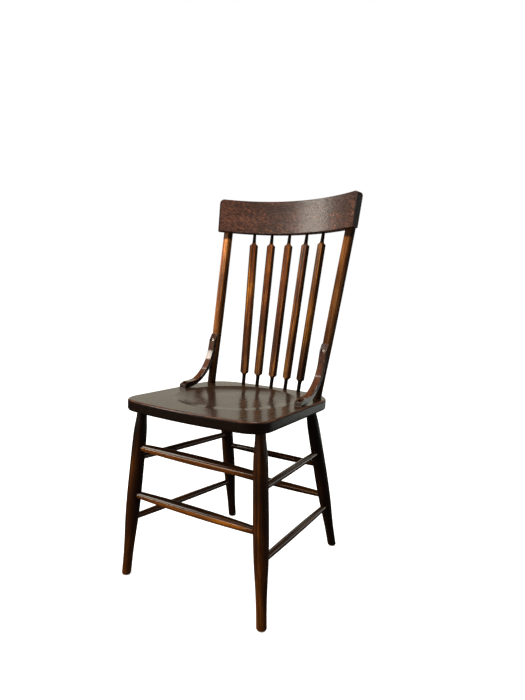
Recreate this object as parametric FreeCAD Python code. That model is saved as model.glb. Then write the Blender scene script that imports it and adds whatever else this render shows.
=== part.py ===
import FreeCAD, Part
import math
import os

# A dining side chair: a dished board seat on four turned legs with eight stretchers, and a raked
# back of two posts, five flattened spindles and a bent crest rail. A bent wooden bracket ties each
# post to the seat. Millimetres, +Z up, the front of the chair faces -Y, +X is to the right as seen
# from the front. Every size below is laid out from the middle of the seat, with the floor at z = 0.
# At the end the whole chair is slid along Y, so that the origin lies under the middle of its box.

V = FreeCAD.Vector

# ---- seat board ----
SEAT_TOP = 450.0
SEAT_THICKNESS = 26.5
SEAT_TILT = 0.7              # degrees that the seat falls towards the back
SEAT_TILT_Y = 90.0           # the line across the seat that keeps its height
SEAT_HALF_FRONT = 196.5      # half widths, before the corners are rounded
SEAT_HALF_BACK = 191.5
SEAT_FRONT_Y = -203.0
SEAT_BACK_Y = 207.0
FRONT_EDGE_BOW = 18.0        # how far the front edge falls back at the sides
BACK_EDGE_BOW = 12.0         # how far the back edge comes forward at the sides
FRONT_CORNER_RADIUS = 55.0
BACK_CORNER_RADIUS = 88.0
SEAT_TOP_ROUND = 4.5         # rounding of the upper edge
SEAT_BOTTOM_ROUND = 6.0      # rounding of the lower edge
DISH_HALF_WIDTH = 150.0
DISH_FRONT_Y = -142.0
DISH_BACK_Y = 170.0
DISH_DEPTH = 7.5
DISH_FLOOR = 0.6             # share of the dish's radius that is nearly flat
SEAT_UNDERSIDE = SEAT_TOP - SEAT_THICKNESS

# ---- legs: the turned axis from the floor to the underside of the seat, right-hand side ----
FRONT_LEG_FOOT = V(197.5, -160.5, 0)
FRONT_LEG_TOP = V(166.5, -141.5, SEAT_UNDERSIDE)
REAR_LEG_FOOT = V(172.0, 277.0, 0)
REAR_LEG_TOP = V(136.5, 161.0, SEAT_UNDERSIDE)
LEG_TENON = 17.0             # how far the leg goes up into the seat, along its axis
# radius of the turning: distance from the floor, then distance down from the seat
LEG_LOWER_TURNING = [(0, 11.6), (60, 12.2), (100, 13.8), (140, 15.9)]
LEG_UPPER_TURNING = [(130, 17.0), (80, 16.5), (43, 14.9), (14, 12.1), (0, 11.6)]
FOOT_EDGE = 1.5              # small rounding at the bottom edge of a leg
PAD_THICKNESS = 3.0          # round pad under each foot
PAD_RADIUS = 9.9
PAD_EDGE = 0.8

# ---- stretchers: height of each end on the leg axes, and radii at the middle and at the ends ----
STRETCHERS = {
    "stretcher_front_upper": ("front_left", "front_right", 329.0, 329.0, 12.2, 8.3),
    "stretcher_front_lower": ("front_left", "front_right", 210.0, 210.0, 12.0, 8.3),
    "stretcher_rear_upper": ("rear_left", "rear_right", 252.5, 252.5, 8.8, 7.2),
    "stretcher_rear_lower": ("rear_left", "rear_right", 159.5, 159.5, 10.4, 8.0),
    "stretcher_left_upper": ("front_left", "rear_left", 301.5, 288.0, 8.6, 7.3),
    "stretcher_left_lower": ("front_left", "rear_left", 147.5, 126.0, 8.9, 7.4),
    "stretcher_right_upper": ("front_right", "rear_right", 301.5, 288.0, 8.6, 7.3),
    "stretcher_right_lower": ("front_right", "rear_right", 147.5, 126.0, 8.9, 7.4),
}
STRETCHER_CLEAR = 4.0        # the stretcher stops this far short of the leg's axis

# ---- back posts, right-hand side: the axis from the seat to the underside of the crest ----
POST_FOOT = V(165.7, 137.2, SEAT_TOP)
POST_TOP = V(191.3, 239.6, 883.7)
POST_TENON = 15.0
POST_LAP = 66.0              # how far the post runs on up behind the crest
# radius of the post: distance up from the seat
POST_TURNING = [(0, 11.2), (70, 11.8), (160, 12.9), (280, 13.3), (400, 13.2)]
POST_FLAT = 11.6             # the front of the post is planed flat at this distance from the axis
POST_FLAT_FROM = 40.0        # height above the seat where the flat begins
POST_END_ROUND = 2.5         # rounding of the upper end

# ---- crest rail: a board bent to an arc, hollow towards the sitter, leaning back ----
CREST_HEIGHT = 94.5
CREST_THICKNESS = 19.0
CREST_LEAN = 10.65           # degrees
CREST_RADIUS = 464.0         # of the front face
CREST_HALF_BOTTOM = 208.1
CREST_HALF_TOP = 213.4
CREST_FRONT_Y = 257.6        # lower edge of the front face, at the middle
CREST_BASE_Z = 878.0
CREST_CORNER = 13.0          # rounding of the two upper corners
CREST_EDGE = 1.8             # small rounding of the long edges

# ---- spindles, from the middle out: foot on the seat and top at the crest ----
SPINDLE_FEET = [(0.0, 191.5), (45.0, 190.0), (88.0, 186.0)]
SPINDLE_TOPS = [0.0, 55.5, 109.0]
SPINDLE_WIDTH = 23.0
SPINDLE_DEPTH = 15.0
SPINDLE_CHAMFER = 4.2
SPINDLE_NECK = 5.1           # radius of the round necks
SPINDLE_TIP = 4.3            # radius of the upper tenon, to which the upper neck tapers
SPINDLE_SHOULDER = 6.4       # radius where the neck meets the flattened part
SPINDLE_SLOPE = 6.0          # length over which the flattened part widens from the shoulder
SPINDLE_LOW_NECK = 28.0      # length of the neck between the seat and the flattened part
SPINDLE_HIGH_NECK = 29.0
SPINDLE_TENON = 15.0

# ---- hip brackets: a bent strip in an upright plane, with its back on the post and on the seat ----
BRACKET_X = 172.8
BRACKET_WIDTH = 19.0
BRACKET_THICKNESS = 11.0
BRACKET_RADIUS = 125.0       # of the outer side of the bend
BRACKET_TOE_Y = 15.0         # front end of the strip
BRACKET_HEAD_Z = 588.0       # top of the strip, on the post
BRACKET_HEAD_TIP = 3.0       # thickness left at the very top
BRACKET_HEAD_SLOPE = 22.0    # length over which the upper end slopes off
BRACKET_EDGE = 1.6           # rounding of the two long front edges
BRACKET_LET_IN = 1.5         # how deep the strip is let into the post
BRACKET_PAD = 5.0            # extra height of the raised part behind the toe's screw
BRACKET_PAD_FRONT = 17.0     # the raised part, measured back from the toe
BRACKET_PAD_BACK = 34.0
BRACKET_PAD_END = 0.27       # share of the bend at which the raised part has run out
HEAD_SCREW_DOWN = 19.0       # the upper screw, below the head of the strip and out from its back
HEAD_SCREW_OUT = 4.5
TOE_SCREW_BACK = 10.0        # the lower screw, back from the toe and up from the seat
TOE_SCREW_UP = 6.0
SCREW_RECESS_RADIUS = 6.3
SCREW_HEAD_RADIUS = 4.9
SCREW_HEAD_HEIGHT = 2.7
SCREW_SLOT = 1.0             # width and depth of the slot
SCREW_SHANK_RADIUS = 1.9
SCREW_TIP = 5.0
BRACKET_SCREW = 22.0         # length under the head
LAP_SCREW = 25.0
LAP_SCREW_HEIGHTS = (20.0, 48.0)   # above the underside of the crest, along the post
LAP_SCREW_SINK = 1.6         # the heads sit in shallow round recesses

SIDES = {"left": -1, "right": 1}


def side_point(point, side):
    """The same point on the left (-1) or right (+1) side of the chair."""
    return V(point.x * side, point.y, point.z)


def along(start, end, distance):
    """The point at a distance from start on the way to end."""
    direction = (end - start).normalize()
    return start + direction * distance


def at_height(start, end, height):
    """The point of a leg's axis at a height above the floor."""
    share = (height - start.z) / (end.z - start.z)
    return start + (end - start) * share


def turned(profile):
    """A solid of revolution about +Z through the (height, radius) points of a smooth profile."""
    points = [V(radius, 0, height) for height, radius in profile]
    curve = Part.BSplineCurve()
    curve.interpolate(points)
    low = V(0, 0, profile[0][0])
    high = V(0, 0, profile[-1][0])
    edges = [Part.makeLine(low, points[0]), curve.toShape(), Part.makeLine(points[-1], high),
             Part.makeLine(high, low)]
    face = Part.Face(Part.Wire(edges))
    return face.revolve(V(0, 0, 0), V(0, 0, 1), 360)


def turned_straight(profile):
    """The same, with straight lines between the points."""
    points = [V(radius, 0, height) for height, radius in profile]
    low = V(0, 0, profile[0][0])
    high = V(0, 0, profile[-1][0])
    outline = Part.makePolygon([low] + points + [high, low])
    return Part.Face(outline).revolve(V(0, 0, 0), V(0, 0, 1), 360)


def stand(shape, start, end, across=V(1, 0, 0)):
    """Move a shape built up +Z from the origin onto the line from start to end."""
    z_axis = (end - start).normalize()
    x_axis = (across - z_axis * across.dot(z_axis)).normalize()
    y_axis = z_axis.cross(x_axis)
    matrix = FreeCAD.Matrix(x_axis.x, y_axis.x, z_axis.x, start.x,
                            x_axis.y, y_axis.y, z_axis.y, start.y,
                            x_axis.z, y_axis.z, z_axis.z, start.z,
                            0, 0, 0, 1)
    moved = shape.copy()
    moved.Placement = FreeCAD.Placement(matrix)
    return moved


def edges_near(shape, test):
    """The edges whose middle point passes a test."""
    found = []
    for edge in shape.Edges:
        middle = edge.valueAt((edge.FirstParameter + edge.LastParameter) / 2)
        if test(middle):
            found.append(edge)
    return found


# ---- seat ----

def bowed_edge(half_width, y, bow):
    """An arc across the seat, with its middle at y and its ends bow further along Y."""
    left = V(-half_width, y + bow, 0)
    right = V(half_width, y + bow, 0)
    return Part.Arc(left, V(0, y, 0), right).toShape()


def dish_tool():
    """A shallow bowl with a nearly flat floor and a soft rim, stretched to the dish's length."""
    reach = 1.12             # the tool runs a little past the rim, above the seat
    rise = DISH_DEPTH * (reach - DISH_FLOOR) ** 2 / (1 - DISH_FLOOR) ** 2
    floor = DISH_HALF_WIDTH * DISH_FLOOR
    rim = DISH_HALF_WIDTH * reach
    bottom = SEAT_TOP - DISH_DEPTH
    curve = Part.BezierCurve()
    curve.setPoles([V(floor, 0, bottom), V((floor + rim) / 2, 0, bottom), V(rim, 0, bottom + rise)])
    edges = [Part.makeLine(V(0, 0, bottom), V(floor, 0, bottom)), curve.toShape(),
             Part.makeLine(V(rim, 0, bottom + rise), V(0, 0, bottom + rise)),
             Part.makeLine(V(0, 0, bottom + rise), V(0, 0, bottom))]
    bowl = Part.Face(Part.Wire(edges)).revolve(V(0, 0, 0), V(0, 0, 1), 360)
    stretch = FreeCAD.Matrix()
    stretch.scale(V(1, (DISH_BACK_Y - DISH_FRONT_Y) / 2 / DISH_HALF_WIDTH, 1))
    bowl = bowl.transformGeometry(stretch)
    bowl.translate(V(0, (DISH_BACK_Y + DISH_FRONT_Y) / 2, 0))
    return bowl


def make_seat():
    front_y = SEAT_FRONT_Y + FRONT_EDGE_BOW
    back_y = SEAT_BACK_Y - BACK_EDGE_BOW
    edges = [bowed_edge(SEAT_HALF_FRONT, SEAT_FRONT_Y, FRONT_EDGE_BOW),
             bowed_edge(SEAT_HALF_BACK, SEAT_BACK_Y, -BACK_EDGE_BOW)]
    for side in SIDES.values():
        front_end = V(side * SEAT_HALF_FRONT, front_y, 0)
        edges.append(Part.makeLine(front_end, V(side * SEAT_HALF_BACK, back_y, 0)))
    outline = Part.Wire(Part.__sortEdges__(edges))
    board = Part.Face(outline).extrude(V(0, 0, SEAT_THICKNESS))
    board.translate(V(0, 0, SEAT_UNDERSIDE))
    middle_z = SEAT_UNDERSIDE + SEAT_THICKNESS / 2
    upright = edges_near(board, lambda p: abs(p.z - middle_z) < 1)
    board = board.makeFillet(FRONT_CORNER_RADIUS, [e for e in upright if e.BoundBox.YMax < 0])
    upright = edges_near(board, lambda p: abs(p.z - middle_z) < 1 and p.y > 150 and abs(p.x) > 185)
    board = board.makeFillet(BACK_CORNER_RADIUS, upright)
    board = board.makeFillet(SEAT_TOP_ROUND, edges_near(board, lambda p: p.z > SEAT_TOP - 0.1))
    board = board.makeFillet(SEAT_BOTTOM_ROUND, edges_near(board, lambda p: p.z < SEAT_UNDERSIDE + 0.1))
    board = board.cut(dish_tool())
    board.rotate(V(0, SEAT_TILT_Y, SEAT_TOP), V(1, 0, 0), -SEAT_TILT)
    return board


# ---- legs and stretchers ----

def make_leg(foot, top):
    length = (top - foot).Length
    below = 8.0              # the turning runs on below the floor, and is sawn off level with it
    profile = [(-below, LEG_LOWER_TURNING[0][1])] + LEG_LOWER_TURNING
    profile += [(length - down, radius) for down, radius in LEG_UPPER_TURNING]
    profile += [(length + LEG_TENON, LEG_UPPER_TURNING[-1][1])]
    leg = stand(turned(profile), foot, top)
    below_foot = Part.makeBox(100, 100, 50, V(foot.x - 50, foot.y - 50, PAD_THICKNESS - 50))
    leg = leg.cut(below_foot)
    return leg.makeFillet(FOOT_EDGE, edges_near(leg, lambda p: p.z < PAD_THICKNESS + 0.5))


def make_foot_pad(foot, top):
    centre = at_height(foot, top, PAD_THICKNESS) - V(0, 0, PAD_THICKNESS)
    pad = Part.makeCylinder(PAD_RADIUS, PAD_THICKNESS, centre)
    return pad.makeFillet(PAD_EDGE, edges_near(pad, lambda p: p.z < 0.1))


def make_stretcher(start, end, middle_radius, end_radius):
    length = (end - start).Length - 2 * STRETCHER_CLEAR
    quarter = end_radius + (middle_radius - end_radius) * 0.75
    profile = [(0, end_radius), (length / 4, quarter), (length / 2, middle_radius),
               (length * 3 / 4, quarter), (length, end_radius)]
    return stand(turned(profile), along(start, end, STRETCHER_CLEAR), end, V(0, 0, 1))


# ---- back ----

def crest_frame(shape):
    """Lean a shape drawn upright at the origin back to the crest's place."""
    shape = shape.copy()
    shape.rotate(V(0, 0, 0), V(1, 0, 0), -CREST_LEAN)
    shape.translate(V(0, CREST_FRONT_Y, CREST_BASE_Z))
    return shape


def crest_end(side):
    """A block that fills the space beyond one end of the crest, square to the bent board."""
    radius = CREST_RADIUS + CREST_THICKNESS / 2
    corners = []
    for half_width, height in ((CREST_HALF_BOTTOM, 0), (CREST_HALF_TOP, CREST_HEIGHT)):
        angle = math.asin(half_width / CREST_RADIUS)
        y = radius * math.cos(angle) - CREST_RADIUS
        corners.append(V(side * radius * math.sin(angle), y, height))
    outward = V(side * math.cos(angle), -math.sin(angle), 0)
    block = Part.makeBox(80, 80, CREST_HEIGHT + 40, V(0, -40, -20))
    return stand(block, corners[0], corners[1], outward)


def make_crest():
    board = Part.makeCylinder(CREST_RADIUS + CREST_THICKNESS, CREST_HEIGHT, V(0, -CREST_RADIUS, 0))
    board = board.cut(Part.makeCylinder(CREST_RADIUS, CREST_HEIGHT, V(0, -CREST_RADIUS, 0)))
    reach = CREST_HALF_TOP + 45
    board = board.common(Part.makeBox(2 * reach, 200, CREST_HEIGHT, V(-reach, -140, 0)))
    for side in SIDES.values():
        board = board.cut(crest_end(side))
    upper_corners = edges_near(board, lambda p: p.z > CREST_HEIGHT - 0.1 and abs(p.x) > 200)
    board = board.makeFillet(CREST_CORNER, [e for e in upper_corners if e.Length < 30])
    long_edges = edges_near(board, lambda p: abs(p.x) < 1)
    board = board.makeFillet(CREST_EDGE, long_edges)
    return crest_frame(board)


def crest_middle(x, height):
    """A point in the middle of the crest's thickness."""
    radius = CREST_RADIUS + CREST_THICKNESS / 2
    y = math.sqrt(radius ** 2 - x ** 2) - CREST_RADIUS
    return crest_frame(Part.Vertex(V(x, y, height))).Point


def make_post(side):
    foot = side_point(POST_FOOT, side)
    top = side_point(POST_TOP, side)
    length = (top - foot).Length
    profile = [(-POST_TENON, POST_TURNING[0][1])] + POST_TURNING
    profile += [(length + POST_LAP, POST_TURNING[-1][1])]
    post = turned(profile)
    planed = Part.makeBox(60, 20, length + POST_LAP, V(-30, -POST_FLAT - 20, POST_FLAT_FROM))
    post = post.cut(planed)
    upper_end = edges_near(post, lambda p: p.z > length + POST_LAP - 0.1)
    return stand(post.makeFillet(POST_END_ROUND, upper_end), foot, top)


def make_spindle(index, side):
    foot_x, foot_y = SPINDLE_FEET[index]
    foot = V(side * foot_x, foot_y, SEAT_TOP)
    top = crest_middle(side * SPINDLE_TOPS[index], 0)
    length = (top - foot).Length
    half_w = SPINDLE_WIDTH / 2
    half_d = SPINDLE_DEPTH / 2
    corners = []
    for sx, sy in ((1, 1), (-1, 1), (-1, -1), (1, -1)):
        on_side = V(sx * half_w, sy * (half_d - SPINDLE_CHAMFER), 0)
        on_face = V(sx * (half_w - SPINDLE_CHAMFER), sy * half_d, 0)
        corners += [on_side, on_face] if sx == sy else [on_face, on_side]
    outline = Part.makePolygon(corners + corners[:1])
    low = SPINDLE_LOW_NECK
    high = length - SPINDLE_HIGH_NECK
    bar = Part.Face(outline).extrude(V(0, 0, high - low))
    bar.translate(V(0, 0, low))
    # the shoulders are turned down to the necks
    wide = half_w + 1.5
    envelope = Part.makePolygon([V(0, 0, low), V(SPINDLE_SHOULDER, 0, low),
                                 V(wide, 0, low + SPINDLE_SLOPE), V(wide, 0, high - SPINDLE_SLOPE),
                                 V(SPINDLE_SHOULDER, 0, high), V(0, 0, high), V(0, 0, low)])
    bar = bar.common(Part.Face(envelope).revolve(V(0, 0, 0), V(0, 0, 1), 360))
    flare = 5.0              # length over which a neck swells to the shoulder
    low_neck = turned_straight([(-SPINDLE_TENON, SPINDLE_NECK), (low - flare, SPINDLE_NECK),
                                (low + 1, SPINDLE_SHOULDER)])
    high_neck = turned_straight([(high - 1, SPINDLE_SHOULDER), (high + flare, SPINDLE_NECK),
                                 (length, SPINDLE_TIP), (length + SPINDLE_TENON, SPINDLE_TIP)])
    spindle = bar.fuse([low_neck, high_neck]).removeSplitter()
    turn = -side * SPINDLE_TOPS[index] / CREST_RADIUS
    return stand(spindle, foot, top, V(math.cos(turn), math.sin(turn), 0))


# ---- hip brackets ----

def bracket_outline():
    """The strip's side view in the YZ plane at x = 0, as a closed wire, with the middle points of
    the two lines of its hollow front, and its two screws."""
    lean = math.atan2(POST_TOP.y - POST_FOOT.y, POST_TOP.z - POST_FOOT.z)
    up = V(0, math.sin(lean), math.cos(lean))             # along the post
    out = V(0, -math.cos(lean), math.sin(lean))           # away from the post's front
    tilt = math.radians(SEAT_TILT)
    back = V(0, math.cos(tilt), -math.sin(tilt))          # along the seat
    lift = V(0, math.sin(tilt), math.cos(tilt))           # square to the seat
    on_seat = V(0, SEAT_TILT_Y, SEAT_TOP)
    on_post = V(0, POST_FOOT.y, POST_FOOT.z) + out * (POST_FLAT - BRACKET_LET_IN)
    # the heel is where the back of the strip would meet the seat if it were not bent
    heel = on_post - up * ((on_post - on_seat).dot(lift) / up.dot(lift))
    turn = math.acos(back.dot(up))
    centre = heel - back * (BRACKET_RADIUS * math.tan(turn / 2)) + lift * BRACKET_RADIUS
    inner = BRACKET_RADIUS - BRACKET_THICKNESS

    def on_bend(radius, share):
        angle = turn * share
        return centre + back * (radius * math.sin(angle)) - lift * (radius * math.cos(angle))

    def from_toe(distance, height):
        return on_seat + back * (BRACKET_TOE_Y - SEAT_TILT_Y + distance) + lift * height

    head = heel + up * ((BRACKET_HEAD_Z - heel.z) / up.z)
    head_tip = head + out * BRACKET_HEAD_TIP
    head_front = head + out * BRACKET_THICKNESS - up * BRACKET_HEAD_SLOPE
    pad_top = BRACKET_THICKNESS + BRACKET_PAD
    pad_end = on_bend(inner, BRACKET_PAD_END)
    outer_bend = Part.Arc(on_bend(BRACKET_RADIUS, 0), on_bend(BRACKET_RADIUS, 0.5),
                          on_bend(BRACKET_RADIUS, 1))
    inner_bend = Part.Arc(on_bend(inner, 1), on_bend(inner, (1 + BRACKET_PAD_END) / 2), pad_end)
    corners = [pad_end, from_toe(BRACKET_PAD_BACK, pad_top), from_toe(BRACKET_PAD_FRONT, pad_top),
               from_toe(1.5, BRACKET_THICKNESS - 1), from_toe(0, 0), on_bend(BRACKET_RADIUS, 0)]
    edges = [outer_bend.toShape(), inner_bend.toShape(),
             Part.makeLine(on_bend(BRACKET_RADIUS, 1), head), Part.makeLine(head, head_tip),
             Part.makeLine(head_tip, head_front), Part.makeLine(head_front, on_bend(inner, 1))]
    edges += [Part.makeLine(a, b) for a, b in zip(corners, corners[1:])]
    screws = [(head + out * HEAD_SCREW_OUT - up * HEAD_SCREW_DOWN, out),
              (from_toe(TOE_SCREW_BACK, TOE_SCREW_UP), lift)]
    front = [on_bend(inner, (1 + BRACKET_PAD_END) / 2), (head_front + on_bend(inner, 1)) / 2]
    return Part.Wire(Part.__sortEdges__(edges)), front, screws


def make_screw(length):
    """A round-head wood screw, head up, with the underside of its head at the origin."""
    head = Part.makeCylinder(SCREW_HEAD_RADIUS, SCREW_HEAD_HEIGHT)
    rim = edges_near(head, lambda p: p.z > SCREW_HEAD_HEIGHT - 0.1 and math.hypot(p.x, p.y) > 1)
    head = head.makeFillet(SCREW_HEAD_HEIGHT * 0.6, rim)
    corner = V(-SCREW_HEAD_RADIUS - 0.5, -SCREW_SLOT / 2, SCREW_HEAD_HEIGHT - SCREW_SLOT)
    slot = Part.makeBox(SCREW_HEAD_RADIUS * 2 + 1, SCREW_SLOT, SCREW_SLOT + 1, corner)
    return head.cut(slot).fuse(screw_shank(length)).removeSplitter()


def screw_shank(length):
    shank = Part.makeCylinder(SCREW_SHANK_RADIUS, length - SCREW_TIP, V(0, 0, SCREW_TIP - length))
    tip = Part.makeCone(0.3, SCREW_SHANK_RADIUS, SCREW_TIP, V(0, 0, -length))
    return [shank, tip]


def screw_hole(length):
    """The room that a screw takes up in the wood, open above its head."""
    head_room = Part.makeCylinder(SCREW_HEAD_RADIUS, 6)
    return head_room.fuse(screw_shank(length))


def make_bracket(side):
    wire, front, screws = bracket_outline()
    strip = Part.Face(wire).extrude(V(BRACKET_WIDTH, 0, 0))
    front_edges = edges_near(strip, lambda p: any(math.hypot(p.y - q.y, p.z - q.z) < 0.1 for q in front))
    strip = strip.makeFillet(BRACKET_EDGE, front_edges)
    strip.translate(V(side * BRACKET_X - BRACKET_WIDTH / 2, 0, 0))
    fasteners = []
    for point, direction in screws:
        place = point + V(side * BRACKET_X, 0, 0)
        recess = Part.makeCylinder(SCREW_RECESS_RADIUS, 30, place, direction)
        strip = strip.cut(recess)
        fasteners.append((place, direction))
    return strip, fasteners


# ---- assembly: where two pieces meet, the socket is cut to the piece that goes into it ----

def make_chair():
    nodes = {}
    axes = {}
    for name, side in SIDES.items():
        axes["front_" + name] = (side_point(FRONT_LEG_FOOT, side), side_point(FRONT_LEG_TOP, side))
        axes["rear_" + name] = (side_point(REAR_LEG_FOOT, side), side_point(REAR_LEG_TOP, side))
    seat = make_seat()
    crest = make_crest()
    for name, (foot, top) in axes.items():
        nodes["leg_" + name] = make_leg(foot, top)
        nodes["foot_pad_" + name] = make_foot_pad(foot, top)
        seat = seat.cut(nodes["leg_" + name])
    for name, (start_leg, end_leg, start_z, end_z, middle, end) in STRETCHERS.items():
        start = at_height(*axes[start_leg], start_z)
        finish = at_height(*axes[end_leg], end_z)
        nodes[name] = make_stretcher(start, finish, middle, end)
        for leg in (start_leg, end_leg):
            nodes["leg_" + leg] = nodes["leg_" + leg].cut(nodes[name])
    bracket_screws = []
    crest_screws = []
    for name, side in SIDES.items():
        post = make_post(side).cut(crest)
        bracket, fasteners = make_bracket(side)
        bracket = bracket.cut(seat)
        post = post.cut(bracket)
        for place, outward in fasteners:
            hole = stand(screw_hole(BRACKET_SCREW), place, place + outward)
            bracket = bracket.cut(hole)
            post = post.cut(hole)
            seat = seat.cut(hole)
            bracket_screws.append(stand(make_screw(BRACKET_SCREW), place, place + outward))
        for height in LAP_SCREW_HEIGHTS:
            place, outward = lap_screw_place(side, height)
            hole = stand(screw_hole(LAP_SCREW), place, place + outward)
            post = post.cut(hole)
            crest = crest.cut(hole)
            crest_screws.append(stand(make_screw(LAP_SCREW), place, place + outward))
        seat = seat.cut(post)
        nodes["back_post_" + name] = post
        nodes["hip_bracket_" + name] = bracket
    for index in range(5):
        offset = index - 2
        spindle = make_spindle(abs(offset), 1 if offset >= 0 else -1)
        seat = seat.cut(spindle)
        crest = crest.cut(spindle)
        nodes["spindle_%d" % (index + 1)] = spindle
    nodes["seat"] = seat
    nodes["crest_rail"] = crest
    nodes["bracket_screws"] = Part.makeCompound(bracket_screws)
    nodes["crest_screws"] = Part.makeCompound(crest_screws)
    return nodes


def lap_screw_place(side, height):
    """Where a screw head sits on the back of the post's lap, and the way its head faces."""
    foot = side_point(POST_FOOT, side)
    top = side_point(POST_TOP, side)
    axis = (top - foot).normalize()
    lean_back = V(0, 1, 0) - axis * axis.y
    lean_back.normalize()
    return top + axis * height + lean_back * (POST_TURNING[-1][1] - LAP_SCREW_SINK), lean_back


def main():
    nodes = make_chair()
    whole = Part.makeCompound(list(nodes.values())).optimalBoundingBox(False, False)
    middle_y = (whole.YMin + whole.YMax) / 2
    os.makedirs("parts", exist_ok=True)
    for name, shape in sorted(nodes.items()):
        shape.translate(V(0, -middle_y, 0))
        shape.exportStep("parts/%s.step" % name)
        print(name, "solids", len(shape.Solids), "valid", shape.isValid(), "volume", round(shape.Volume))
    print("slid along Y by", round(-middle_y, 3))


main()
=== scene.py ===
import bpy
import math
from types import SimpleNamespace
import numpy as np
from mathutils import Matrix, Vector


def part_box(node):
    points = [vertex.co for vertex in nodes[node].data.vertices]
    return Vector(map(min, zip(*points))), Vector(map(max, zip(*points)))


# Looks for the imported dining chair: varnished, dark stained wood with worn edges, steel screws and
# felt foot pads. The CAD pieces keep their shapes and get procedural materials whose grain runs
# along each piece. Metres, +Z up, the front of the chair faces -Y.

# ---- camera ----
CAMERA_PLACE = Vector((0.707, -1.1095, 0.721))
CAMERA_YAW = 30.47           # degrees from +Y towards -X
CAMERA_PITCH = 6.64          # degrees downwards
CAMERA_ROLL = 2.07
CAMERA_LENS = 26.88          # mm, on a 36 mm sensor along the picture's long side

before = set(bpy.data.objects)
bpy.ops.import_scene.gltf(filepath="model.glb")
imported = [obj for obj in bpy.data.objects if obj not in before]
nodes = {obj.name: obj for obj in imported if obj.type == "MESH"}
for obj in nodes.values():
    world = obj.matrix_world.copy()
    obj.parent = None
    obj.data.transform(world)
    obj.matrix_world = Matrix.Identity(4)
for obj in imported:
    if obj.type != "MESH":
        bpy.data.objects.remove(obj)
bpy.context.view_layer.update()


# ---- where the grain runs ----

def vertices_of(name):
    mesh = nodes[name].data
    places = np.empty(len(mesh.vertices) * 3)
    mesh.vertices.foreach_get("co", places)
    return places.reshape(-1, 3)


def along_piece(name, across=Vector((1, 0, 0))):
    """A long piece's own frame: origin at its lower or left end, +Z along its length, +X the way
    that is nearest to across. And the length."""
    places = vertices_of(name)
    middle = places.mean(0)
    direction = np.linalg.svd(places - middle, full_matrices=False)[2][0]
    if direction[int(np.argmax(np.abs(direction)))] < 0:
        direction = -direction
    reach = (places - middle) @ direction
    start = Vector(middle + direction * reach.min())
    z_axis = Vector(direction)
    x_axis = across if abs(z_axis.dot(across)) < 0.8 else Vector((0, 1, 0))
    x_axis = (x_axis - z_axis * x_axis.dot(z_axis)).normalized()
    turn = Matrix((x_axis, z_axis.cross(x_axis), z_axis))
    return start, turn, float(reach.max() - reach.min())


# ---- node helpers ----

WAVE_SCALE = 0.314           # a wave texture of this scale repeats once in a metre


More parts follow.
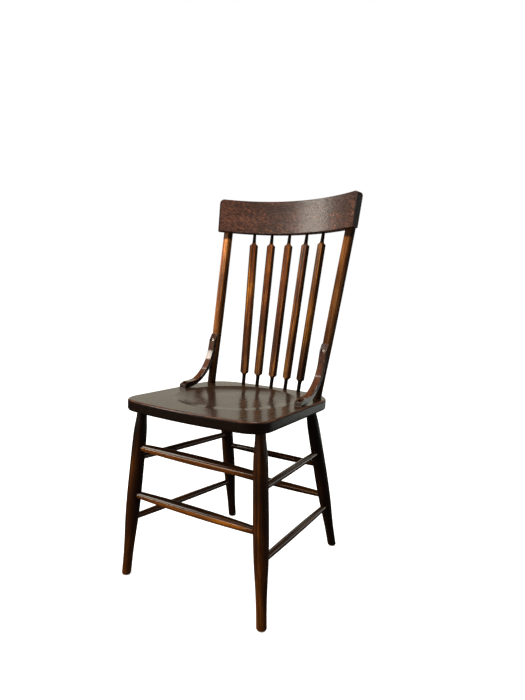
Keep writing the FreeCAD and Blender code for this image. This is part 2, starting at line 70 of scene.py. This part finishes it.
class Tree:
    """A material's node tree, with short calls for the nodes that the woods need."""

    def __init__(self, name):
        self.material = bpy.data.materials.new(name)
        self.material.use_nodes = True
        self.nodes = self.material.node_tree.nodes
        self.links = self.material.node_tree.links
        self.nodes.clear()
        self.output = self.nodes.new("ShaderNodeOutputMaterial")
        self.shader = self.nodes.new("ShaderNodeBsdfPrincipled")
        self.links.new(self.shader.outputs[0], self.output.inputs["Surface"])

    def put(self, socket, value):
        if isinstance(value, bpy.types.NodeSocket):
            self.links.new(value, socket)
        else:
            socket.default_value = value

    def math(self, operation, a, b=0.0, clamp=False):
        node = self.nodes.new("ShaderNodeMath")
        node.operation = operation
        node.use_clamp = clamp
        self.put(node.inputs[0], a)
        self.put(node.inputs[1], b)
        return node.outputs[0]

    def vector(self, operation, a, b):
        node = self.nodes.new("ShaderNodeVectorMath")
        node.operation = operation
        self.put(node.inputs[0], a)
        self.put(node.inputs[1], b)
        return node.outputs["Value"] if operation == "DOT_PRODUCT" else node.outputs["Vector"]

    def parts(self, vector):
        node = self.nodes.new("ShaderNodeSeparateXYZ")
        self.put(node.inputs[0], vector)
        return node.outputs

    def point(self, x, y, z):
        node = self.nodes.new("ShaderNodeCombineXYZ")
        for socket, value in zip(node.inputs, (x, y, z)):
            self.put(socket, value)
        return node.outputs[0]

    def mapping(self, vector, place=(0, 0, 0), turn=(0, 0, 0), scale=(1, 1, 1)):
        node = self.nodes.new("ShaderNodeMapping")
        self.put(node.inputs["Vector"], vector)
        node.inputs["Location"].default_value = place
        node.inputs["Rotation"].default_value = turn
        node.inputs["Scale"].default_value = scale
        return node.outputs[0]

    def noise(self, vector, scale, detail=2.0, roughness=0.5, colour=False):
        """Noise with its own scale per axis, in features per metre."""
        node = self.nodes.new("ShaderNodeTexNoise")
        self.put(node.inputs["Vector"], self.mapping(vector, scale=scale))
        node.inputs["Scale"].default_value = 1.0
        node.inputs["Detail"].default_value = detail
        node.inputs["Roughness"].default_value = roughness
        return node.outputs["Color" if colour else "Fac"]

    def ramp(self, factor, stops, smooth=False):
        """A colour ramp from (position, value) stops, where a value is a number or a colour."""
        node = self.nodes.new("ShaderNodeValToRGB")
        self.put(node.inputs[0], factor)
        node.color_ramp.interpolation = "EASE" if smooth else "LINEAR"
        elements = node.color_ramp.elements
        elements[0].position = stops[0][0]
        elements[1].position = stops[-1][0]
        for position, value in stops[1:-1]:
            elements.new(position)
        for element, (position, value) in zip(elements, stops):
            element.color = (*value, 1) if isinstance(value, tuple) else (value, value, value, 1)
        return node.outputs[0]

    def mix(self, factor, a, b, blend="MIX"):
        node = self.nodes.new("ShaderNodeMix")
        node.data_type = "RGBA"
        node.blend_type = blend
        node.clamp_factor = True
        for socket, value in zip((node.inputs[0], node.inputs[6], node.inputs[7]), (factor, a, b)):
            self.put(socket, (*value, 1) if isinstance(value, tuple) and len(value) == 3 else value)
        return node.outputs[2]

    def bump(self, height, strength, distance, normal=None):
        node = self.nodes.new("ShaderNodeBump")
        node.inputs["Strength"].default_value = strength
        node.inputs["Distance"].default_value = distance
        self.put(node.inputs["Height"], height)
        if normal is not None:
            self.put(node.inputs["Normal"], normal)
        return node.outputs[0]

    def place(self):
        """Where a point of the surface is on the piece."""
        return self.nodes.new("ShaderNodeTexCoord").outputs["Object"]

    def normal(self):
        """The direction that the surface faces."""
        return self.nodes.new("ShaderNodeNewGeometry").outputs["Normal"]

    def swing(self, pattern, share):
        """A pattern from 0 to 1, centred on zero and scaled."""
        return self.math("MULTIPLY", self.math("SUBTRACT", pattern, 0.5), share)

    def rings(self, vector, spacing):
        """Growth rings around +Z, spacing metres apart."""
        node = self.nodes.new("ShaderNodeTexWave")
        node.wave_type = "RINGS"
        node.rings_direction = "Z"
        node.inputs["Scale"].default_value = WAVE_SCALE / spacing
        node.inputs["Distortion"].default_value = 0.6
        node.inputs["Detail"].default_value = 2.0
        node.inputs["Detail Scale"].default_value = 3.0
        self.put(node.inputs["Vector"], vector)
        return node.outputs["Fac"]

    def round_normal(self, point, turn):
        """The direction straight out from the axis of a turned piece, smoother than its mesh."""
        x, y, z = self.parts(point)
        outwards = self.mapping(self.point(x, y, 0.0), turn=turn.transposed().to_euler())
        return self.vector("NORMALIZE", outwards, (0, 0, 0))

    def edges(self, radius):
        """1 on sharp edges of the piece, falling to 0 within the radius."""
        bevel = self.nodes.new("ShaderNodeBevel")
        bevel.samples = 4
        bevel.inputs["Radius"].default_value = radius
        same = self.vector("DOT_PRODUCT", bevel.outputs[0], self.normal())
        return self.math("MULTIPLY", self.math("SUBTRACT", 1.0, same), 6.0, clamp=True)


# ---- woods ----

def look(**values):
    """How a kind of wood looks, with the usual values for what it doesn't say."""
    return {"streak_count": 150, "least_shine": 0.2, "flecks": 0.0, "rim": False, "turn": None, **values}


# dark, middle, light: the stain's colours     worn, wear: the colour of worn edges, and how much it shows
# rings, ring_share: their spacing in metres, and how much they show
# streak, streak_count: streaks per metre along and across the grain     streaks: how much they show
# patchy: how unevenly the stain has taken     flecks: how much pale flecks show     rim: a worn round edge
# roughness, gloss: of the wood     coat, coat_roughness, coat_bump: of the varnish over it
# least_shine: the share of the varnish that is left where the colour has gone black
LOOKS = {
    "seat_wood": look(
        dark=(0.018, 0.008, 0.004), middle=(0.052, 0.024, 0.012), light=(0.10, 0.046, 0.024),
        worn=(0.22, 0.078, 0.042), wear=0.8, rings=0.007, ring_share=0.03, streak=4.0, streaks=0.55,
        patchy=0.5, roughness=0.38, gloss=0.05, coat=0.90, coat_roughness=0.16, coat_bump=0.25, rim=True,
        least_shine=0.05),
    "crest_wood": look(
        dark=(0.026, 0.011, 0.007), middle=(0.082, 0.033, 0.022), light=(0.18, 0.072, 0.046),
        worn=(0.31, 0.11, 0.055), wear=0.9, rings=0.009, ring_share=0.04, streak=22.0, streaks=0.55,
        patchy=0.7, roughness=0.46, gloss=0.2, coat=0.58, coat_roughness=0.22, coat_bump=0.8, flecks=0.7),
    "post_wood": look(
        dark=(0.070, 0.020, 0.006), middle=(0.30, 0.100, 0.023), light=(0.56, 0.22, 0.058),
        worn=(0.48, 0.22, 0.08), wear=0.4, rings=0.004, ring_share=0.06, streak=8.0, streaks=1.0,
        patchy=1.1, roughness=0.50, gloss=0.03, coat=0.07, coat_roughness=0.18, coat_bump=0.25,
        streak_count=260),
    "spindle_wood": look(
        dark=(0.036, 0.010, 0.004), middle=(0.17, 0.048, 0.012), light=(0.78, 0.28, 0.028),
        worn=(0.36, 0.14, 0.05), wear=0.3, rings=0.004, ring_share=0.08, streak=3.0, streaks=1.05,
        patchy=1.0, roughness=0.50, gloss=0.03, coat=0.09, coat_roughness=0.24, coat_bump=0.25,
        streak_count=280),
    "bracket_wood": look(
        dark=(0.026, 0.008, 0.003), middle=(0.14, 0.042, 0.012), light=(0.30, 0.100, 0.026),
        worn=(0.46, 0.28, 0.20), wear=0.8, rings=0.004, ring_share=0.08, streak=2.5, streaks=0.6,
        patchy=0.7, roughness=0.34, gloss=0.1, coat=1.0, coat_roughness=0.10, coat_bump=0.12),
    "leg_wood": look(
        dark=(0.012, 0.0035, 0.001), middle=(0.072, 0.0190, 0.0016), light=(0.24, 0.066, 0.005),
        worn=(0.13, 0.042, 0.012), wear=0.4, rings=0.005, ring_share=0.05, streak=3.0, streaks=0.7,
        patchy=0.9, roughness=0.42, gloss=0.08, coat=0.38, coat_roughness=0.12, coat_bump=0.10),
    "stretcher_wood": look(
        dark=(0.022, 0.006, 0.002), middle=(0.20, 0.054, 0.004), light=(0.60, 0.185, 0.010),
        worn=(0.20, 0.08, 0.03), wear=0.4, rings=0.005, ring_share=0.06, streak=2.0, streaks=0.7,
        patchy=0.8, roughness=0.36, gloss=0.02, coat=1.0, coat_roughness=0.05, coat_bump=0.02),
}
NEAR_BLACK = (0.006, 0.003, 0.002)     # what a colour turns to where a shade keeps none of it
MIDDLE_TONE = 0.735                    # where the patterns of the grain are neither dark nor light
FIBRE_SHARE = 0.25
FLECK_SLANT = math.radians(35)
EDGE_WIDTH = 0.0022                    # how far wear reaches from a sharp edge
VARNISH_IOR = 1.5


def patterns_of(tree, finish, point, seed):
    """The patterns of the grain, each from 0 to 1, and the places that they are drawn at."""
    shifted = tree.mapping(point, place=(0.37 * seed, 0.53 * seed, 0.71 * seed))
    wander = tree.noise(shifted, (9, 9, 2.2), detail=2, colour=True)
    wander = tree.vector("SUBTRACT", wander, (0.5, 0.5, 0.5))
    wander = tree.vector("MULTIPLY", wander, (0.016, 0.016, 0.0))
    flowing = tree.vector("ADD", shifted, wander)
    off_centre = tree.mapping(flowing, place=(0.045, 0.03, 0), scale=(1, 1, 0.02))
    across = finish["streak_count"]
    grain = SimpleNamespace(shifted=shifted, flowing=flowing)
    grain.rings = tree.rings(off_centre, finish["rings"])
    grain.streaks = tree.noise(flowing, (across, across, finish["streak"]), detail=3, roughness=0.6)
    grain.fibres = tree.noise(flowing, (520, 520, 11), detail=3, roughness=0.6)
    grain.pores = tree.ramp(tree.noise(flowing, (1500, 1500, 60), detail=1), [(0.34, 0.0), (0.46, 1.0)])
    grain.stain = tree.noise(shifted, (14, 14, 5), detail=3, roughness=0.6)
    grain.smudges = tree.noise(shifted, (22, 22, 22), detail=3, roughness=0.6)
    if finish["flecks"]:
        grain.mottle = tree.noise(shifted, (260, 260, 110), detail=3, roughness=0.7)
    return grain


def stained(tree, finish, grain):
    """The colour of the stained wood, before dirt and wear."""
    tone = tree.swing(grain.rings, finish["ring_share"])
    for pattern, share in ((grain.streaks, finish["streaks"]), (grain.fibres, FIBRE_SHARE),
                           (grain.stain, finish["patchy"])):
        tone = tree.math("ADD", tone, tree.swing(pattern, share))
    tone = tree.math("ADD", tone, MIDDLE_TONE)
    colour = tree.ramp(tone, [(0.50, finish["dark"]), (0.74, finish["middle"]), (0.98, finish["light"])])
    open_pores = tree.math("MULTIPLY", tree.math("SUBTRACT", 1.0, grain.pores), 0.55)
    return tree.mix(open_pores, colour, finish["dark"])


def flecked(tree, finish, grain, colour):
    """Dark mottling, then patches of pale flecks that slant across the grain."""
    colour = tree.mix(tree.ramp(grain.mottle, [(0.40, 0.6), (0.56, 0.0)]), colour, finish["dark"])
    slanted = tree.mapping(grain.flowing, turn=(0, FLECK_SLANT, 0))
    flecks = tree.noise(slanted, (420, 420, 70), detail=2, roughness=0.55)
    patches = tree.ramp(tree.noise(grain.shifted, (26, 26, 14), detail=1), [(0.38, 0.0), (0.54, 1.0)])
    flecks = tree.math("MULTIPLY", tree.ramp(flecks, [(0.55, 0.0), (0.63, 1.0)]), patches)
    return tree.mix(tree.math("MULTIPLY", flecks, finish["flecks"]), colour, finish["worn"])


def worn_places(tree, finish, grain):
    """1 where an edge has worn through, 0 elsewhere."""
    scuffs = tree.noise(grain.shifted, (60, 60, 30), detail=4, roughness=0.65)
    scuffs = tree.ramp(scuffs, [(0.42, 0.0), (0.60, 1.0)])
    sharp = tree.edges(EDGE_WIDTH)
    if finish["rim"]:
        upwards = tree.parts(tree.normal())[2]
        rim = tree.ramp(upwards, [(0.45, 0.0), (0.62, 1.0), (0.90, 1.0), (0.975, 0.0)])
        sharp = tree.math("ADD", sharp, rim, clamp=True)
        scuffs = tree.math("ADD", tree.math("MULTIPLY", scuffs, 0.7), 0.25)
    return tree.math("MULTIPLY", sharp, scuffs)


def varnish(tree, finish, grain, point, wear, shine):
    """Roughness, bumps and the coat of varnish, which is thin where shine is low or the edge is worn."""
    rough = tree.math("ADD", finish["roughness"] - 0.14, tree.math("MULTIPLY", grain.smudges, 0.20))
    rough = tree.math("ADD", rough, tree.math("MULTIPLY", grain.fibres, 0.08))
    rough = tree.math("ADD", rough, tree.math("MULTIPLY", wear, 0.15))
    coat_rough = finish["coat_roughness"]
    if finish["flecks"]:
        speckle = tree.swing(grain.mottle, 0.9)
        rough = tree.math("ADD", rough, speckle)
        coat_rough = tree.math("ADD", speckle, coat_rough, clamp=True)
        shine = tree.math("MULTIPLY", shine, tree.ramp(grain.mottle, [(0.40, 0.25), (0.60, 1.0)]))
    tree.put(tree.shader.inputs["Coat Roughness"], coat_rough)
    tree.put(tree.shader.inputs["Roughness"], rough)

    smooth = None if finish["turn"] is None else tree.round_normal(point, finish["turn"])
    fine = tree.math("ADD", tree.math("MULTIPLY", grain.fibres, 0.5),
                     tree.math("MULTIPLY", grain.pores, 0.5))
    tree.put(tree.shader.inputs["Normal"], tree.bump(fine, 0.35, 0.0004, smooth))
    broad = tree.math("ADD", tree.math("MULTIPLY", grain.smudges, 0.6),
                      tree.math("MULTIPLY", grain.streaks, 0.4))
    tree.put(tree.shader.inputs["Coat Normal"], tree.bump(broad, finish["coat_bump"], 0.0012, smooth))

    tree.shader.inputs["Specular IOR Level"].default_value = finish["gloss"]
    coat = tree.math("SUBTRACT", finish["coat"], tree.math("MULTIPLY", wear, finish["coat"] * 0.8))
    tree.put(tree.shader.inputs["Coat Weight"], tree.math("MULTIPLY", coat, shine))
    tree.shader.inputs["Coat IOR"].default_value = VARNISH_IOR


def wood(name, finish, place_in_grain, seed, shade=None):
    """Varnished wood. place_in_grain(tree) gives the point in the piece's own frame, +Z along the grain;
    shade(tree, point) gives how much of the colour stays, for parts that look darker."""
    tree = Tree(name)
    point = place_in_grain(tree)
    grain = patterns_of(tree, finish, point, seed)
    colour = stained(tree, finish, grain)
    if finish["flecks"]:
        colour = flecked(tree, finish, grain, colour)
    shine = 1.0
    if shade is not None:
        kept = shade(tree, point)
        least = finish["least_shine"]
        shine = tree.math("ADD", tree.math("MULTIPLY", kept, 1 - least), least)
        colour = tree.mix(kept, NEAR_BLACK, colour)
    wear = worn_places(tree, finish, grain)
    colour = tree.mix(tree.math("MULTIPLY", wear, finish["wear"]), colour, finish["worn"])
    tree.put(tree.shader.inputs["Base Color"], colour)
    varnish(tree, finish, grain, point, wear, shine)
    return tree.material


def straight_grain(start, turn):
    """Grain along a straight piece."""
    def place_in_grain(tree):
        return tree.mapping(tree.place(), place=-(turn @ start), turn=turn.to_euler())
    return place_in_grain


def bent_grain(centre, lean, radius):
    """Grain along a board bent to an arc about an upright axis that leans back."""
    turn = Matrix.Rotation(lean, 3, "X")

    def place_in_grain(tree):
        x, y, z = tree.parts(tree.mapping(tree.place(), place=-(turn @ centre), turn=turn.to_euler()))
        angle = tree.math("ARCTAN2", x, y)
        out = tree.math("SQRT", tree.math("ADD", tree.math("MULTIPLY", x, x), tree.math("MULTIPLY", y, y)))
        return tree.point(z, tree.math("SUBTRACT", out, radius), tree.math("MULTIPLY", angle, radius))
    return place_in_grain


# ---- where the woods are darker ----

# These shades stand for gathered dirt and for plain shadow. How much of each is real stain isn't known.
SIDEWAYS = 0                 # the parts of a point on a long piece
UPWARDS = 1                  # on a piece that lies level


def long_shade(lengthways, part, half_width, crossways):
    """A shade for a long piece: (metres from its lower or left end, share of the colour kept) along it,
    times (share of its width, share of the colour kept) across it."""
    length = lengthways[-1][0]
    lengthways = [(distance / length, kept) for distance, kept in lengthways]

    def shade(tree, point):
        parts = tree.parts(point)
        kept_along = tree.ramp(tree.math("DIVIDE", parts[2], length), lengthways)
        across = tree.math("DIVIDE", parts[part], half_width)
        across = tree.math("ADD", tree.math("MULTIPLY", across, 0.5), 0.5)
        return tree.math("MULTIPLY", tree.ramp(across, crossways), kept_along)
    return shade


def spindle_shade(length):
    """Black necks, and painted shade: darker towards the seat and on the narrow sides."""
    neck = 0.045             # tenon and neck together, at each end
    return long_shade(
        [(0.0, 0.0), (neck - 0.004, 0.0), (neck + 0.002, 0.26), (0.12, 0.36), (length * 0.5, 0.78),
         (length - neck - 0.004, 1.0), (length - neck + 0.004, 0.02), (length, 0.0)],
        SIDEWAYS, 0.0118, [(0.0, 0.12), (0.14, 0.25), (0.24, 0.95), (0.74, 1.0), (0.86, 0.35), (1.0, 0.15)])


def stretcher_shade(length):
    """Painted shade: the upper side is nearly black, and so are the ends."""
    return long_shade(
        [(0.0, 0.35), (0.03, 0.9), (length - 0.06, 1.0), (length - 0.02, 0.4), (length, 0.2)],
        UPWARDS, 0.0120, [(0.0, 0.5), (0.2, 1.0), (0.62, 1.0), (0.76, 0.20), (1.0, 0.06)])


def post_shade(length):
    """Black at the seat, from dirt and painted shade; a painted shadow just under the crest; and painted
    shade on the right-hand side.
    """
    crest_lap = 0.066        # how far the crest covers the post
    under_crest = length - crest_lap
    return long_shade(
        [(0.0, 0.02), (0.06, 0.06), (0.10, 0.14), (0.15, 0.28), (0.23, 0.52), (0.34, 0.72), (0.44, 1.0),
         (under_crest - 0.034, 1.0), (under_crest - 0.026, 0.10), (length, 0.2)],
        SIDEWAYS, 0.0132, [(0.0, 0.5), (0.08, 1.0), (0.78, 1.0), (0.93, 0.40), (1.0, 0.2)])


def leg_shade(length):
    """Painted shade: nearly black under the seat, and darker on the right-hand side."""
    return long_shade(
        [(0.0, 0.9), (length * 0.5, 1.0), (length * 0.78, 0.55), (length, 0.2)],
        SIDEWAYS, 0.0165, [(0.0, 0.6), (0.12, 1.0), (0.66, 1.0), (0.85, 0.5), (1.0, 0.3)])


def seat_shade(tree, point):
    """Painted shade: the sides and the underside of the board are darker than its top."""
    upwards = tree.parts(tree.normal())[2]
    return tree.ramp(upwards, [(0.30, 0.10), (0.80, 1.0)])


def bracket_shade(tree, point):
    """Painted shade: nearly black at the sides, the toe and the head."""
    reach = 0.096            # from the middle of the strip to either end
    half_width = 0.0095
    across, out, lengthways = tree.parts(point)
    share = tree.math("DIVIDE", tree.math("ADD", lengthways, reach), 2 * reach)
    kept = tree.ramp(share, [(0.0, 0.05), (0.09, 0.25), (0.16, 1.0), (0.62, 1.0), (0.80, 0.45), (1.0, 0.25)])
    side = tree.math("DIVIDE", tree.math("ABSOLUTE", across), half_width)
    return tree.math("MULTIPLY", kept, tree.ramp(side, [(0.90, 1.0), (0.985, 0.12)]))


def crest_shade(tree, point):
    """Nearly black on the two slanting end faces."""
    reach = 0.2140           # from the middle of the board to its end, along the lower edge
    slant = 0.0624           # how much farther the end is for each metre of height
    edge = 0.0014
    height, out, across = tree.parts(point)
    past = tree.math("SUBTRACT", tree.math("ABSOLUTE", across), tree.math("MULTIPLY", height, slant))
    return tree.ramp(tree.math("DIVIDE", tree.math("SUBTRACT", past, reach), edge, clamp=True),
                     [(0.0, 1.0), (1.0, 0.12)])


# ---- each wooden piece gets its wood ----

# These tints make up for lamps that reach some pieces less, as well as for differences in the stain. The
# two real posts are much alike.
SPINDLE_TINTS = {"spindle_1": 1.70, "spindle_2": 1.65, "spindle_3": 1.75, "spindle_4": 1.20,
                 "spindle_5": 0.70}
POST_TINTS = {"back_post_left": 2.60, "back_post_right": 0.86}
REAR_TINT = 0.22             # the shade under the seat, put into the colour of the rear legs and stretchers
REAR_SHINE = 0.35            # and into the varnish of the rear stretchers
# where each spindle meets the crest, across the chair: it is turned to face the crest's hollow
SPINDLE_TOPS = {"spindle_1": -0.109, "spindle_2": -0.0555, "spindle_3": 0.0, "spindle_4": 0.0555,
                "spindle_5": 0.109}
CREST_RADIUS = 0.464
CREST_LEAN = math.radians(10.65)
CREST_SETBACK = 0.028        # from the crest's rearmost point to the middle of its lower edge
SEAT_HEIGHT = 0.45
BRACKET_SLOPE = 0.7071       # the brackets' grain climbs at 45 degrees


def dress(name, material):
    nodes[name].data.materials.clear()
    nodes[name].data.materials.append(material)


def dress_straight(name, slot, seed, tint=1.0, shade_of=None, across=Vector((1, 0, 0)), shine=1.0):
    """A straight piece in one of the woods, its colours times tint and its varnish times shine."""
    start, turn, length = along_piece(name, across)
    finish = dict(LOOKS[slot])
    for key in ("dark", "middle", "light"):
        finish[key] = tuple(channel * tint for channel in finish[key])
    finish["coat"] *= shine
    if slot == "stretcher_wood":
        finish["turn"] = turn
    shade = shade_of(length) if shade_of else None
    dress(name, wood(name + "_finish", finish, straight_grain(start, turn), seed, shade))


for number, node_name in enumerate(sorted(nodes), start=1):
    if node_name.startswith("leg_"):
        leg_tint = 1.0 if "front" in node_name else REAR_TINT
        dress_straight(node_name, "leg_wood", number, leg_tint, leg_shade)
    elif node_name.startswith("stretcher_front"):
        dress_straight(node_name, "stretcher_wood", number, 1.0, stretcher_shade)
    elif node_name.startswith("stretcher_"):
        stretcher_shine = REAR_SHINE if "rear" in node_name else 1.0
        dress_straight(node_name, "stretcher_wood", number, REAR_TINT, shine=stretcher_shine)
    elif node_name.startswith("back_post_"):
        dress_straight(node_name, "post_wood", number, POST_TINTS[node_name], post_shade)
    elif node_name.startswith("spindle_"):
        turned = -SPINDLE_TOPS[node_name] / CREST_RADIUS
        dress_straight(node_name, "spindle_wood", number, SPINDLE_TINTS[node_name], spindle_shade,
                       Vector((math.cos(turned), math.sin(turned), 0)))

seat_turn = Matrix(((1, 0, 0), (0, 0, -1), (0, 1, 0)))
seat_grain = straight_grain(Vector((0, 0, SEAT_HEIGHT)), seat_turn)
dress("seat", wood("seat_finish", LOOKS["seat_wood"], seat_grain, 3, seat_shade))

crest_low, crest_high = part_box("crest_rail")
crest_middle = Vector((0, crest_high.y - CREST_SETBACK, crest_low.z))
crest_grain = bent_grain(crest_middle - Vector((0, CREST_RADIUS, 0)), CREST_LEAN, CREST_RADIUS)
dress("crest_rail", wood("crest_finish", LOOKS["crest_wood"], crest_grain, 5, crest_shade))

bracket_turn = Matrix(((1, 0, 0),
                       (0, BRACKET_SLOPE, -BRACKET_SLOPE),
                       (0, BRACKET_SLOPE, BRACKET_SLOPE)))
for side in ("left", "right"):
    low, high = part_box("hip_bracket_" + side)
    bracket_grain = straight_grain((low + high) / 2, bracket_turn)
    bracket_finish = wood("bracket_finish_" + side, LOOKS["bracket_wood"], bracket_grain, 7, bracket_shade)
    dress("hip_bracket_" + side, bracket_finish)


# ---- metal and felt ----

def screw_steel():
    tree = Tree("screw_finish")
    place = tree.place()
    tarnish = tree.noise(place, (300, 300, 300), detail=4, roughness=0.65)
    tarnish = tree.ramp(tarnish, [(0.42, 0.0), (0.62, 1.0)])
    scratches = tree.noise(place, (900, 4000, 900), detail=2)
    colour = tree.mix(tarnish, (0.34, 0.32, 0.29), (0.12, 0.09, 0.07))
    tree.put(tree.shader.inputs["Base Color"], colour)
    tree.put(tree.shader.inputs["Roughness"], tree.math("ADD", 0.20, tree.math("MULTIPLY", tarnish, 0.30)))
    tree.put(tree.shader.inputs["Normal"], tree.bump(scratches, 0.2, 0.0002))
    tree.shader.inputs["Metallic"].default_value = 1.0
    return tree.material


def felt():
    tree = Tree("pad_finish")
    place = tree.place()
    tufts = tree.noise(place, (900, 900, 900), detail=4, roughness=0.7)
    soil = tree.noise(place, (120, 120, 120), detail=3, roughness=0.6)
    colour = tree.mix(tufts, (0.50, 0.44, 0.33), (0.80, 0.76, 0.66))
    colour = tree.mix(tree.math("MULTIPLY", soil, 0.4), colour, (0.30, 0.25, 0.18))
    tree.put(tree.shader.inputs["Base Color"], colour)
    tree.put(tree.shader.inputs["Roughness"], tree.math("ADD", 0.80, tree.math("MULTIPLY", tufts, 0.15)))
    tree.put(tree.shader.inputs["Normal"], tree.bump(tufts, 0.8, 0.0006))
    tree.shader.inputs["Sheen Weight"].default_value = 0.4
    tree.shader.inputs["Sheen Roughness"].default_value = 0.5
    return tree.material


screw_finish = screw_steel()
pad_finish = felt()
for node_name in nodes:
    if node_name.endswith("_screws"):
        dress(node_name, screw_finish)
    if node_name.startswith("foot_pad_"):
        dress(node_name, pad_finish)


# ---- studio ----

FLOOR_REACH = 30.0
FLOOR_GLOW = 0.97            # keeps the floor as pale as the background
ALL_ROUND_LIGHT = 0.15
ROOM_IN_REFLECTIONS = 0.05
BACKGROUND = 1.0


def make_floor():
    mesh = bpy.data.meshes.new("floor")
    reach = FLOOR_REACH
    corners = [(-reach, -reach, 0), (reach, -reach, 0), (reach, reach, 0), (-reach, reach, 0)]
    mesh.from_pydata(corners, [], [(0, 1, 2, 3)])
    floor = bpy.data.objects.new("floor", mesh)
    bpy.context.scene.collection.objects.link(floor)
    tree = Tree("floor_finish")
    place = tree.place()
    mottle = tree.noise(place, (3, 3, 3), detail=3)
    tree.put(tree.shader.inputs["Base Color"], tree.mix(mottle, (0.86, 0.86, 0.86), (0.90, 0.90, 0.90)))
    tree.shader.inputs["Emission Color"].default_value = (1, 1, 1, 1)
    tree.shader.inputs["Emission Strength"].default_value = FLOOR_GLOW
    tree.shader.inputs["Roughness"].default_value = 0.9
    tree.shader.inputs["Specular IOR Level"].default_value = 0.1
    mesh.materials.append(tree.material)
    # the floor shows its own soft shadow but doesn't brighten the underside of the chair
    floor.visible_diffuse = False
    floor.visible_glossy = False


def panel(name, place, target, width, height, power, colour=(1, 1, 1), mirrored=True, lights=True):
    """A soft rectangular lamp at a place, facing a target. One that isn't mirrored makes no highlights,
    and one that doesn't light makes nothing but highlights."""
    lamp = bpy.data.lights.new(name, "AREA")
    lamp.shape = "RECTANGLE"
    lamp.size = width
    lamp.size_y = height
    lamp.energy = power
    lamp.color = colour
    lamp_object = bpy.data.objects.new(name, lamp)
    lamp_object.location = place
    lamp_object.rotation_euler = (Vector(target) - Vector(place)).to_track_quat("-Z", "Y").to_euler()
    lamp_object.visible_camera = False
    lamp_object.visible_glossy = mirrored
    lamp_object.visible_diffuse = lights
    bpy.context.scene.collection.objects.link(lamp_object)


def make_world():
    """White behind the object, soft grey light on it from all round, and a darker room in reflections."""
    world = bpy.data.worlds.new("studio")
    world.use_nodes = True
    tree = world.node_tree
    tree.nodes.clear()
    output = tree.nodes.new("ShaderNodeOutputWorld")
    path = tree.nodes.new("ShaderNodeLightPath")
    shown = None
    for strength, ray in ((ALL_ROUND_LIGHT, None), (ROOM_IN_REFLECTIONS, "Is Glossy Ray"),
                          (BACKGROUND, "Is Camera Ray")):
        background = tree.nodes.new("ShaderNodeBackground")
        background.inputs[1].default_value = strength
        background.inputs[0].default_value = (1, 1, 1, 1)
        if shown is None:
            shown = background.outputs[0]
            continue
        choose = tree.nodes.new("ShaderNodeMixShader")
        tree.links.new(path.outputs[ray], choose.inputs[0])
        tree.links.new(shown, choose.inputs[1])
        tree.links.new(background.outputs[0], choose.inputs[2])
        shown = choose.outputs[0]
    tree.links.new(shown, output.inputs[0])
    bpy.context.scene.world = world


def make_camera():
    camera = bpy.data.cameras.new("camera")
    camera.lens = CAMERA_LENS
    camera.sensor_width = 36
    camera.clip_start = 0.05
    yaw = math.radians(CAMERA_YAW)
    pitch = math.radians(CAMERA_PITCH)
    ahead = Vector((-math.sin(yaw) * math.cos(pitch), math.cos(yaw) * math.cos(pitch), -math.sin(pitch)))
    right = Vector((math.cos(yaw), math.sin(yaw), 0))
    up = right.cross(ahead)
    turn = Matrix((right, up, -ahead)).transposed() @ Matrix.Rotation(math.radians(CAMERA_ROLL), 3, "Z")
    camera_object = bpy.data.objects.new("camera", camera)
    camera_object.matrix_world = Matrix.Translation(CAMERA_PLACE) @ turn.to_4x4()
    bpy.context.scene.collection.objects.link(camera_object)
    bpy.context.scene.camera = camera_object


make_floor()
make_world()
make_camera()
# key_left makes the sheen on the crest, and wall_back is what the seat mirrors; wall_right and low_right
# light the right-hand sides; the strips make the thin lines of light
panel("key_left", (-2.35, -2.0, 2.25), (0, 0, 0.6), 1.0, 1.0, 60, (1.0, 0.93, 0.82))
panel("fill_front", (-1.1, -2.9, 1.3), (0, 0, 0.6), 2.0, 1.6, 44, (1.0, 0.93, 0.82), mirrored=False)
panel("top", (0.1, 0.1, 2.8), (0, 0, 0.4), 0.9, 0.9, 26, (1.0, 0.98, 0.95))
panel("wall_back", (-1.2, 3.2, 1.1), (0, 0, 0.6), 5.6, 1.8, 15.0, (1.0, 0.94, 0.75))
panel("wall_right", (3.0, 0.6, 1.2), (0, 0, 0.6), 2.5, 2.0, 18, (0.94, 0.98, 0.92))
panel("strip_front", (-1.4, -2.9, 0.95), (0, 0, 0.4), 3.0, 0.30, 50, (1.0, 0.88, 0.72), lights=False)
panel("low_right", (1.0, 1.3, 0.10), (0.15, 0.1, 0.4), 1.6, 0.16, 2.0, (0.95, 1.0, 0.94))
panel("strip_above", (-1.3, -0.7, 2.6), (0, 0, 0.5), 1.2, 0.35, 11, (1.0, 0.96, 0.90), lights=False)

scene = bpy.context.scene
scene.view_settings.view_transform = "Standard"
scene.view_settings.look = "None"

bpy.context.view_layer.update()
